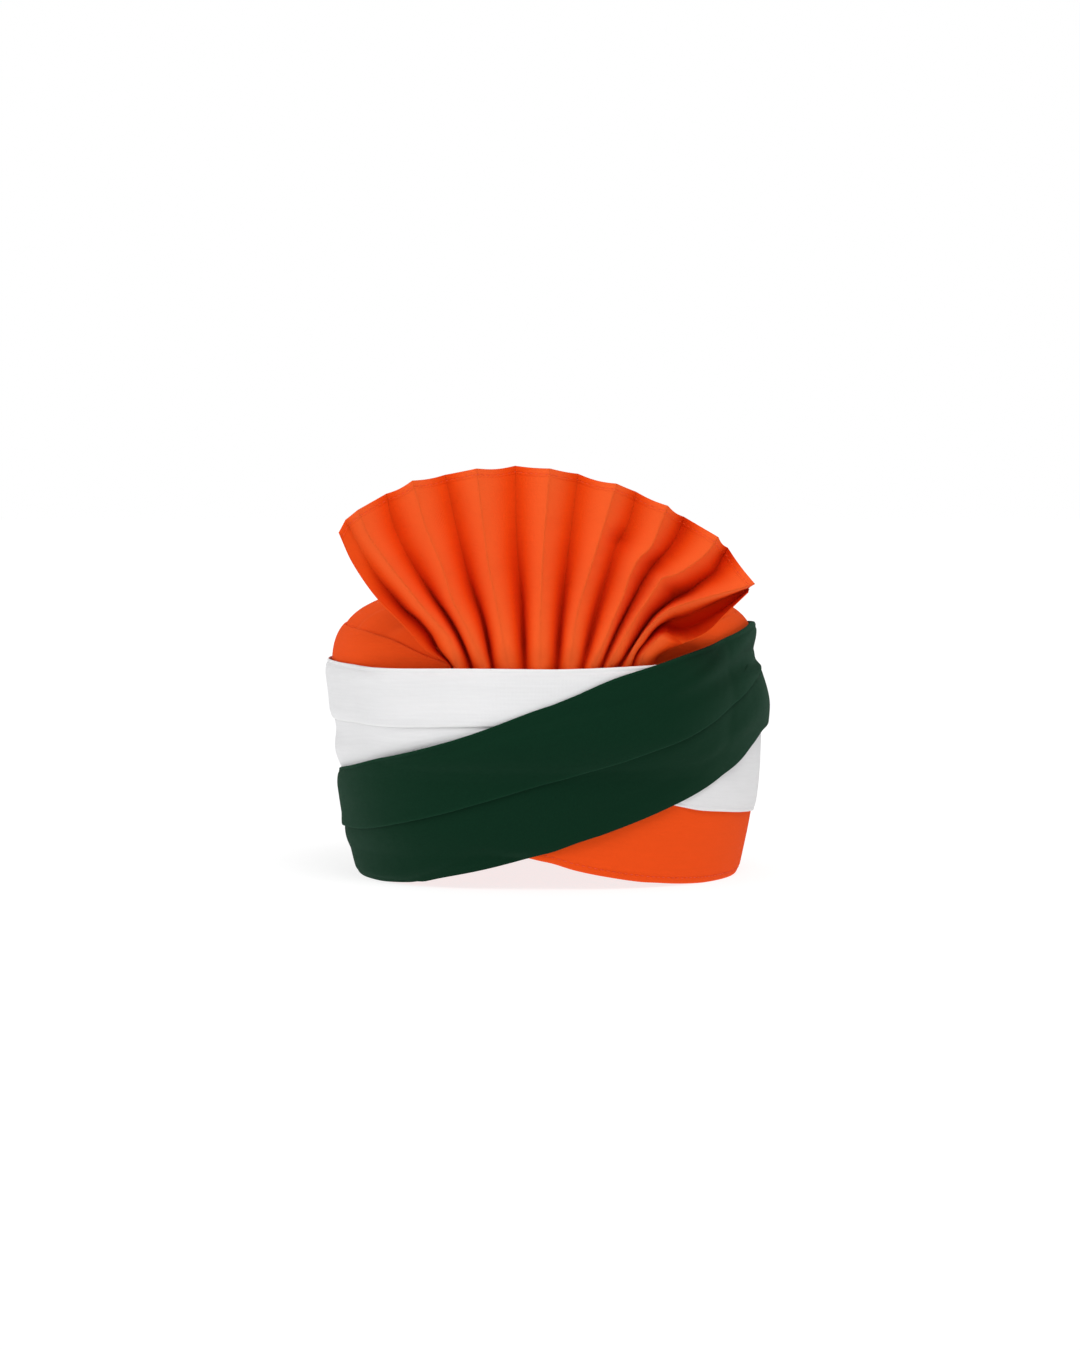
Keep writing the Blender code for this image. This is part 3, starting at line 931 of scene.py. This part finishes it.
def edge_rows(wall, turning, face_rows):
    """The rows of a turn from the end of its lower turning, round both folds, to its upper one.

    Each row is (share of the width, shift up in metres, depth below the outer face).
    """
    radius = wall / 2
    near = (0.0, 0.0004, 0.0008, 0.0012, 0.0016, 0.0020, 0.0026, 0.0032, 0.0040, 0.0052)
    bend = np.linspace(0, math.pi, 7)[1:-1]
    under = np.linspace(turning, 0, 4)
    rows = [(0.0, radius + d, wall) for d in under]
    rows += [(0.0, radius - radius * math.sin(a), radius + radius * math.cos(a)) for a in bend]
    rows += [(0.0, radius + d, 0.0) for d in near]
    last = radius + near[-1]
    for share in np.linspace(0, 1, face_rows + 2)[1:-1]:
        rows.append((share, last * (1 - 2 * share), 0.0))
    rows += [(1.0, -radius - d, 0.0) for d in reversed(near)]
    rows += [(1.0, radius * math.sin(a) - radius, radius - radius * math.cos(a)) for a in bend]
    rows += [(1.0, -radius - d, wall) for d in reversed(under)]
    return np.array(rows)


def turn_relief(turn, degrees, height, foot, top):
    """Creases and the sewn line in the outer ply of a turn."""
    total = np.zeros(np.broadcast(degrees, height).shape)
    share = (height - foot) / (top - foot)
    away = np.minimum(height - foot, top - height)
    for crease in CREASES:
        if crease.turn != turn.name:
            continue
        along = (degrees - crease.start) / (crease.end - crease.start)
        place = crease.start_share + (crease.end_share - crease.start_share) * along
        across = (share - place) * (top - foot) / crease.width
        ends = eased(0.0, 0.3, along) * (1 - eased(0.7, 1.0, along))
        total = total + crease.height * ends * np.exp(-across * across)
    edge_reach = 0.004
    total = total * eased(0.0, edge_reach, away)
    if turn.seam:
        line = top - turn.seam if turn.seam > 0 else foot - turn.seam
        off = (height - line) / SEAM_WIDTH
        total = total - SEAM_DEPTH * np.exp(-off * off)
    return total


def turn_points(body, turn, columns, face_rows):
    """The grid of one turn, with its seam at the back, its face tone and a painted highlight along its
    folds.
    """
    rows = edge_rows(body.cloth.turn_wall, body.cloth.turning, face_rows)
    degrees = (90 + 360 * np.arange(columns + 1) / columns)[None, :]
    foot = body.edge(turn.foot, degrees)
    top = body.edge(turn.top, degrees) + turn.lap
    share, shift, depth = (rows[:, i, None] for i in range(3))
    height = foot + (top - foot) * share + shift
    spread = np.broadcast_to(degrees, height.shape)
    pressed = 1 - turn.press * np.exp(-np.minimum(height - foot, top - height) / PRESS_REACH)
    pressed = pressed * body.tightness(spread, height)
    out = body.lift(turn.layer, spread, height) - PRESSED_GAP * body.cloth.gap * (1 - pressed)
    out = out + (body.cloth.turn_wall - depth) * pressed
    outer = (depth < body.cloth.turn_wall / 2) * 1.0
    out = out + outer * turn_relief(turn, spread % 360, height, foot, top)
    points = body.surface(spread, height) + body.normal(spread, height) * out[..., None]
    # The painted highlight along the folded edges, added to the face's tone
    edge_near = np.minimum(np.abs(height - foot), np.abs(top - height))
    return points, turn.fade + turn.edge_fade * np.exp(-(edge_near / HIGHLIGHT_REACH) ** 2)


def seam_line(body, turn, columns):
    """The line of a turn's stitches by its foot: its points and the outward directions."""
    degrees = 90 + 360 * np.arange(columns + 1) / columns
    height = body.edge(turn.foot, degrees) - turn.seam
    pressed = 1 - turn.press * math.exp(turn.seam / PRESS_REACH)
    out = body.lift(turn.layer, degrees, height) - PRESSED_GAP * body.cloth.gap * (1 - pressed)
    out = out + body.cloth.turn_wall * pressed - STITCH_SINK
    normal = body.normal(degrees, height)
    return body.surface(degrees, height) + normal * out[:, None], normal


class TURBAN_OT_turns(Operator):
    """Wind the six turns of cloth, each folded under at both edges"""

    bl_idname = "turban.wind_turns"
    bl_label = "Wind the turns"

    columns: IntProperty(name="Columns", description="Steps round each turn", default=320, min=60)
    face_rows: IntProperty(name="Rows", description="Steps up each turn", default=16, min=4)

    def execute(self, context):
        body = WoundBody(context.scene)
        columns = self.columns
        for turn in TURNS:
            points, painted_light = turn_points(body, turn, columns, self.face_rows)
            piece = cloth_piece(turn.name, turn.node, turn.cloth, points, body.cloth.ply, painted_light)
            if turn.seam < 0 and turn.cloth == "saffron":
                sew("base_stitches", *seam_line(body, turn, columns), body.cloth)
            declare_sheet(piece)
        return {"FINISHED"}


class TURBAN_OT_cap(Operator):
    """Wind the crown and the inner cloth, with plies lapped across the dome"""

    bl_idname = "turban.wind_cap"
    bl_label = "Wind the crown"

    columns: IntProperty(name="Columns", description="Steps round the crown", default=360, min=60)
    wall_rows: IntProperty(name="Wall rows", description="Steps up the wall", default=20, min=4)
    dome_rows: IntProperty(name="Dome rows", description="Steps over the dome", default=84, min=8)

    def execute(self, context):
        body = WoundBody(context.scene)
        degrees = (90 + 360 * np.arange(self.columns + 1) / self.columns)[None, :]
        foot = body.edge("rim", degrees)
        belly = body.body.belly_height
        closer_by_rim = 1.5
        up = (np.arange(self.wall_rows) / self.wall_rows)[:, None] ** closer_by_rim
        wall = foot + (belly - foot) * up
        over = np.linspace(0, math.pi / 2, self.dome_rows + 1)[:, None]
        dome = belly + (body.body.height - belly) * np.sin(over) ** (2 / DOME_POWER) + 0 * degrees
        height = np.concatenate([wall, dome])
        spread = np.broadcast_to(degrees, height.shape)
        points = body.surface(spread, height)
        around = np.gradient(points, axis=1)
        around[:, 0] = around[:, -1] = points[:, 1] - points[:, -2]
        normal = unit(np.cross(around, np.gradient(points, axis=0)))
        normal[-1] = (0, 0, 1)
        rim_radius = 0.0012
        out = self.plies(points) - self.rolled_rim(height - foot, rim_radius)
        points = points + normal * out[..., None]
        upward = np.linalg.norm(np.diff(points, axis=0), axis=2).mean(axis=1)
        reach = np.concatenate([np.cumsum(upward[::-1])[::-1], [0.0]])[:, None]
        angle = np.radians(spread)
        flat = np.stack([reach * np.cos(angle), reach * np.sin(angle)], axis=-1)
        inner_room = 0.0004
        piece = cloth_piece(
            "crown_and_lining_cloth", "cap", "saffron", points, body.cloth.cap_wall - inner_room,
            self.crown_painted_light(points), flat=flat,
        )
        declare_sheet(piece)
        return {"FINISHED"}

    @staticmethod
    def rolled_rim(distance, radius):
        """How far the face rolls in as it nears the rim."""
        inside = np.clip(radius - distance, 0, radius)
        return radius - np.sqrt(radius * radius - inside * inside)

    @staticmethod
    def lap_place(points):
        """Where a point lies from one lap's edge, at 0, to the next, at 1."""
        pitch = 0.024
        turned = math.radians(24)
        curve = 1.6
        wander = 0.0015
        across = points[..., 1] * math.cos(turned) + points[..., 0] * math.sin(turned)
        along = points[..., 0] * math.cos(turned) - points[..., 1] * math.sin(turned)
        place = (across + curve * along * along + wander * np.sin(along * 55)) / pitch
        return place - np.floor(place)

    @classmethod
    def plies(cls, points):
        """Laps of cloth drawn across the dome, each a long rise and a short drop."""
        drop = 0.20
        part = cls.lap_place(points)
        rise = eased(0.0, 1 - drop, part) * 0.6 + 0.4 * np.clip(part / (1 - drop), 0, 1)
        lap = rise * (1 - eased(1 - drop, 1.0, part))
        return LAP_HEIGHT * lap * cls.on_dome(points)

    @staticmethod
    def on_dome(points):
        """1 on top of the dome, eased to 0 at its shoulder, where the cloth is drawn smooth."""
        return eased(0.108, 0.124, points[..., 2])

    @classmethod
    def crown_painted_light(cls, points):
        """The crown's painted light: a face tone paler than the dye and a painted highlight along the
        edge of each lap.
        """
        edge = 0.80
        width = 0.07
        near = np.exp(-(((cls.lap_place(points) - edge) / width) ** 2))
        return CROWN_TONE + LAP_EDGE_TONE * near * cls.on_dome(points)


def fold_curves(body, studio, up):
    """The folds' lines before pleating: an array of folds by steps by 3, from the band to the rim."""
    fan = body.fan
    lines = []
    for fold in FOLDS:
        path = np.array(fold.path, float)
        knots = np.concatenate([[0.0], np.cumsum(np.linalg.norm(np.diff(path, axis=0), axis=1))])
        knots = knots / knots[-1]
        base = fan_base(body, studio, fold, body.band_top)
        lean = fan.lean * eased(0.15, 1.0, knots) - fan.cup * fold.cup * knots**2
        points = photo_point(studio, path[:, 0], path[:, 1], base[1] + lean)
        points[0] = base
        lines.append(through(points, knots, up))
    return np.array(lines)


def fan_base(body, studio, fold, height):
    """Where a fold crosses a level of the cap, with room for the pleats."""
    front = -0.112
    column, row = (np.array(float(value)) for value in fold.path[0])
    side = photo_point(studio, column, row, np.array(front))[0]
    height = np.asarray(height, float)
    degrees = body.front_bearing(side, height)
    return body.surface(degrees, height) + body.normal(degrees, height) * body.foot_middle


def through(points, knots, share):
    """A smooth curve through points at their knots, which run from 0 to 1."""
    first = np.clip(np.searchsorted(knots, share, side="right") - 1, 0, len(knots) - 2)
    steps = np.diff(knots)
    rises = np.diff(points, axis=0) / steps[:, None]
    slopes = np.empty_like(points)
    weight = (steps[1:] / (steps[1:] + steps[:-1]))[:, None]
    slopes[1:-1] = rises[:-1] * weight + rises[1:] * (1 - weight)
    slopes[0], slopes[-1] = rises[0], rises[-1]
    step = steps[first][:, None]
    part = (share - knots[first])[:, None] / step
    start, end = slopes[first] * step, slopes[first + 1] * step
    return bent(points[first], points[first + 1], start, end, part)


def fan_grid(body, studio, panel_steps, foot_rows, face_rows):
    """The fan's grid, in rows from the tucked foot to the rim, and its painted shade and painted
    highlights.
    """
    fan = body.fan
    tuck = np.linspace(1, 0, foot_rows + 1)[:-1]
    up = np.linspace(0, 1, face_rows + 1)
    hem_start = 0.94
    hem_rows = 24
    up = np.concatenate([up[up < hem_start], np.linspace(hem_start, 1.0, hem_rows)])
    lines = fold_curves(body, studio, up)
    levels = body.band_top - tuck * fan.foot_tuck
    feet = np.array([fan_base(body, studio, fold, levels) for fold in FOLDS])
    lines = np.concatenate([feet, lines], axis=1)
    up = np.concatenate([-tuck, up])

    part = (1 - np.cos(np.linspace(0, math.pi, panel_steps + 1)[:-1])) / 2
    panels = len(FOLDS) - 1
    left = np.append(np.repeat(np.arange(panels), panel_steps), panels - 1)
    part = np.append(np.tile(part, panels), 1.0)
    base = lines[left] * (1 - part)[:, None, None] + lines[left + 1] * part[:, None, None]

    crease_foot = np.array([fold.crease_foot for fold in FOLDS])
    crease_rim = np.array([fold.crease_rim for fold in FOLDS])
    toward_rim = np.array([eased(*fold.opens, up) for fold in FOLDS])
    creases = crease_foot[:, None] * (1 - toward_rim) + crease_rim[:, None] * toward_rim
    start, end = creases[left], creases[left + 1]
    from_ridge = np.where(start > end, part[:, None], 1 - part[:, None])
    crease = np.minimum(start, end) + np.abs(start - end) * pleat_section(from_ridge, up[None, :])

    depth = fan.foot_pleat + (fan.waist_pleat - fan.foot_pleat) * eased(0.0, 0.12, up)
    depth = depth + (fan.rim_pleat - fan.waist_pleat) * eased(0.35, 0.9, up)
    grid = base.transpose(1, 0, 2)
    grid[..., 1] -= (crease * depth[None, :]).T
    grid[..., 1] += fan_unevenness(studio, grid)
    # The rim sags a little between its folds, except at the far left, where it is drawn tight
    sag = 0.0009 * np.sin(math.pi * part) * (0.5 + 0.5 * np.sin(left * 2.3)) * (left > 2)
    radial = unit(grid[-1] - grid[-8])
    grid -= radial[None] * sag[None, :, None] * (np.clip(up, 0, 1) ** 12)[:, None, None]

    # The sewn hem along the rim is three plies thick, with the stitches drawn in
    below = np.linalg.norm(grid - grid[-1:], axis=2)
    grid[..., 1] -= body.cloth.ply * (1 - eased(fan.hem - 0.0002, fan.hem + 0.0003, below))
    sewn = (below - fan.hem + HEM_STITCHES) / HEM_DENT
    grid[..., 1] += HEM_DENT * np.exp(-(sewn**2))
    return grid, fan_tones(start, end, from_ridge, up).T


def fan_tones(start, end, from_ridge, up):
    """Painted shade in the fan's valleys and painted highlights on its ridges, from the creases at both
    sides of each panel.
    """
    lower = np.minimum(start, end)
    upper = np.maximum(start, end)
    # Painted shade in the valley: darkest low in a deep valley, lighter where the fan opens and where the
    # valley is shallow
    opened = eased(0.25, 0.95, up)[None, :] * eased(-1.5, -0.9, lower)
    valley = OPEN_TONE * opened + SHALLOW_TONE * eased(-0.8, 0.2, lower) + DEPTH_TONE
    # Painted highlight along the ridge, strongest on a high ridge
    ridge = LINE_TONE * eased(-1.6, -0.6, upper) + CREST_TONE * eased(0.0, 0.8, upper)
    fading = (np.cos(math.pi * np.clip(from_ridge, 0, 1) ** 1.3) + 1) / 2
    return valley + (ridge - valley) * fading


def pleat_section(from_ridge, up):
    """The height of a pleat across a panel, 1 at the ridge and 0 in the valley.

    Low down the pleats are round with a dark gap between them. Higher up they open: the ridges are
    crisp and the valleys soft.
    """
    high = eased(0.05, 0.60, up)
    across = np.clip(from_ridge / 0.90, 0, 1)
    low_section = (1 - across**2.2) ** (1 / 2.2)
    high_section = (1 - np.clip(from_ridge, 0, 1)) ** 1.15
    return low_section * (1 - high) + high_section * high


def fan_unevenness(studio, grid):
    """Soft dents, and the faint waves that starched cloth keeps."""
    total = np.zeros(grid.shape[:2])
    front = -0.11
    for dent in DENTS:
        pixel = (np.array(float(value)) for value in (dent.column, dent.row, front))
        middle = photo_point(studio, *pixel)
        radius = dent.radius * studio.pixel
        away = (grid[..., 0] - middle[0]) ** 2 + (grid[..., 2] - middle[2]) ** 2
        total += dent.depth * np.exp(-away / radius**2)
    draws = np.random.default_rng(11)
    steepness = 160
    wave_height = 0.00016
    for _ in range(8):
        across, upward = draws.normal(0, steepness, 2)
        phase = draws.uniform(0, 2 * math.pi)
        total += wave_height * np.sin(grid[..., 0] * across + grid[..., 2] * upward + phase)
    return total


def hem_line(points, below):
    """The line of the hem's stitches: its points and the outward directions, from the rim down."""
    near = 30
    away = np.linalg.norm(points - points[-1:], axis=2)
    rows = np.argmin(np.abs(away[-near:] - below), axis=0) + len(points) - near
    columns = np.arange(points.shape[1])
    line = points[rows, columns]
    down = unit(points[rows - 2, columns] - points[-1])
    along = unit(np.gradient(line, axis=0))
    out = unit(np.cross(along, down))
    out *= -np.sign(out[:, 1:2])
    return line + out * 0.0002, out


def with_hem(points, ply, hem):
    """The grid with its rim turned over to the back and down."""
    radius = ply * 1.2
    rim = points[-1]
    down = unit(points[-4] - rim)
    rows = [points]
    for angle in np.linspace(0, math.pi, 6)[1:]:
        back = radius - radius * math.cos(angle)
        rise = radius * math.sin(angle)
        rows.append((rim - down * rise + np.array([0, back, 0]))[None])
    for reach in (0.3, 0.6, 1.0):
        rows.append((rim + down * hem * reach + np.array([0, 2 * radius, 0]))[None])
    return np.concatenate(rows)


class TURBAN_OT_fan(Operator):
    """Pleat the fan: crisp folds at the rim that gather into round pleats at the band"""

    bl_idname = "turban.pleat_fan"
    bl_label = "Pleat the fan"

    panel_steps: IntProperty(
        name="Panel steps", description="Steps across each panel", default=10, min=2
    )
    foot_rows: IntProperty(name="Foot rows", description="Steps up the tucked foot", default=6, min=2)
    face_rows: IntProperty(
        name="Face rows", description="Steps from the band to the rim", default=120, min=20
    )

    def execute(self, context):
        body = WoundBody(context.scene)
        studio = context.scene.turban_studio
        points, painted_light = fan_grid(body, studio, self.panel_steps, self.foot_rows, self.face_rows)
        face = len(points)
        seam, out = hem_line(points, body.fan.hem - HEM_STITCHES)
        stitches = sew("fan_stitches", seam, out, body.cloth)
        points = with_hem(points, body.cloth.ply, body.fan.hem)
        # The turned-over hem keeps the rim's painted light
        painted_light = np.concatenate([painted_light, np.repeat(painted_light[-1:], len(points) - face, axis=0)])
        flat = flat_lengths(points)
        panels = len(FOLDS) - 1
        flat[..., 0] = np.linspace(0, panels * body.fan.panel, flat.shape[1])[None, :]
        piece = cloth_piece(
            "fan_cloth", "fan", "saffron", points, body.cloth.ply, painted_light,
            offset=0.0, closed=False, flat=flat,
        )
        declare_sheet(piece)
        return {"FINISHED"}


class TURBAN_OT_studio(Operator):
    """Set up the camera, the pale floor and soft studio light"""

    bl_idname = "turban.studio"
    bl_label = "Set up the studio"

    def execute(self, context):
        studio = context.scene.turban_studio
        self.camera(context.scene, studio)
        self.floor()
        self.surround(context.scene, studio)
        self.sun("key_light", studio.key, 22, 52, 30)
        self.sun("fill_light", studio.fill, -68, 18, 50)
        context.scene.view_settings.view_transform = "Standard"
        return {"FINISHED"}

    @staticmethod
    def camera(scene, studio):
        """The photograph's view, from just above the level of the turban."""
        data = bpy.data.cameras.new("camera")
        data.sensor_width = SENSOR
        data.lens = SENSOR * studio.distance / (PHOTO_HEIGHT * studio.pixel)
        data.clip_start = 0.05
        data.clip_end = 200
        camera = set_out("camera", data)
        camera.location = (
            studio.aim_side,
            -studio.distance * math.cos(studio.tilt),
            studio.aim_height + studio.distance * math.sin(studio.tilt),
        )
        camera.rotation_euler = (math.pi / 2 - studio.tilt, 0, 0)
        scene.camera = camera

    @staticmethod
    def floor():
        """A wide shooting table of opal acrylic, lit from below so that it looks white."""
        bm = bmesh.new()
        bmesh.ops.create_grid(bm, x_segments=1, y_segments=1, size=60)
        mesh = as_mesh(bm, "floor")
        material, tree, shader = bare_material("opal_acrylic_white")
        place = add(tree, "ShaderNodeTexCoord").outputs["Object"]
        grain = add(tree, "ShaderNodeTexNoise", {"Vector": place, "Scale": 40.0, "Detail": 2.0})
        matt = {"Value": grain.outputs["Fac"], "To Min": 0.85, "To Max": 0.95}
        roughness = add(tree, "ShaderNodeMapRange", matt)
        tree.links.new(roughness.outputs[0], shader.inputs["Roughness"])
        for socket, value in (
            ("Emission Strength", 0.80), ("Emission Color", (1, 1, 1, 1)),
            ("Base Color", linear("#949494")), ("Specular IOR Level", 0.05),
        ):
            shader.inputs[socket].default_value = value
        mesh.materials.append(material)
        set_out("floor", mesh)

    @staticmethod
    def surround(scene, studio):
        """A white surround, bright behind the object and dimmer as light."""
        world = bpy.data.worlds.new("surround")
        scene.world = world
        world.use_nodes = True
        tree = world.node_tree
        back = tree.nodes["Background"]
        seen = add(tree, "ShaderNodeLightPath").outputs["Is Camera Ray"]
        strength = add(
            tree, "ShaderNodeMapRange", {"Value": seen, "To Min": studio.ambient, "To Max": 1.0}
        )
        back.inputs["Color"].default_value = (1, 1, 1, 1)
        tree.links.new(strength.outputs[0], back.inputs["Strength"])

    @staticmethod
    def sun(name, strength, side, height, spread):
        """A wide soft light from the front, turned to one side and up by degrees."""
        data = bpy.data.lights.new(name, "SUN")
        data.energy = strength
        data.angle = math.radians(spread)
        light = set_out(name, data)
        light.rotation_euler = (math.radians(90 - height), 0, math.radians(side))


class TURBAN_PT_panel(Panel):
    """The turban's sizes, colours and steps"""

    bl_label = "Tied turban"
    bl_idname = "TURBAN_PT_panel"
    bl_space_type = "VIEW_3D"
    bl_region_type = "UI"
    bl_category = "Turban"

    def draw(self, context):
        scene = context.scene
        for group in GROUPS:
            box = self.layout.box()
            settings = getattr(scene, GROUPS[group])
            for name in group.__annotations__:
                box.prop(settings, name)
        for step in STEPS:
            self.layout.operator(step.bl_idname)


GROUPS = {
    TurbanBody: "turban_body",
    TurbanCloth: "turban_cloth",
    TurbanFan: "turban_fan",
    TurbanStudio: "turban_studio",
}
STEPS = (TURBAN_OT_cap, TURBAN_OT_turns, TURBAN_OT_fan, TURBAN_OT_studio)


def register():
    for group, name in GROUPS.items():
        bpy.utils.register_class(group)
        setattr(bpy.types.Scene, name, PointerProperty(type=group))
    for step in STEPS:
        bpy.utils.register_class(step)
    bpy.utils.register_class(TURBAN_PT_panel)


def unregister():
    bpy.utils.unregister_class(TURBAN_PT_panel)
    for step in reversed(STEPS):
        bpy.utils.unregister_class(step)
    for group, name in reversed(list(GROUPS.items())):
        delattr(bpy.types.Scene, name)
        bpy.utils.unregister_class(group)


def main():
    register()
    make_materials(bpy.context.scene)
    bpy.ops.turban.wind_cap()
    bpy.ops.turban.wind_turns()
    bpy.ops.turban.pleat_fan()
    bpy.ops.turban.studio()


if __name__ == "__main__":
    main()
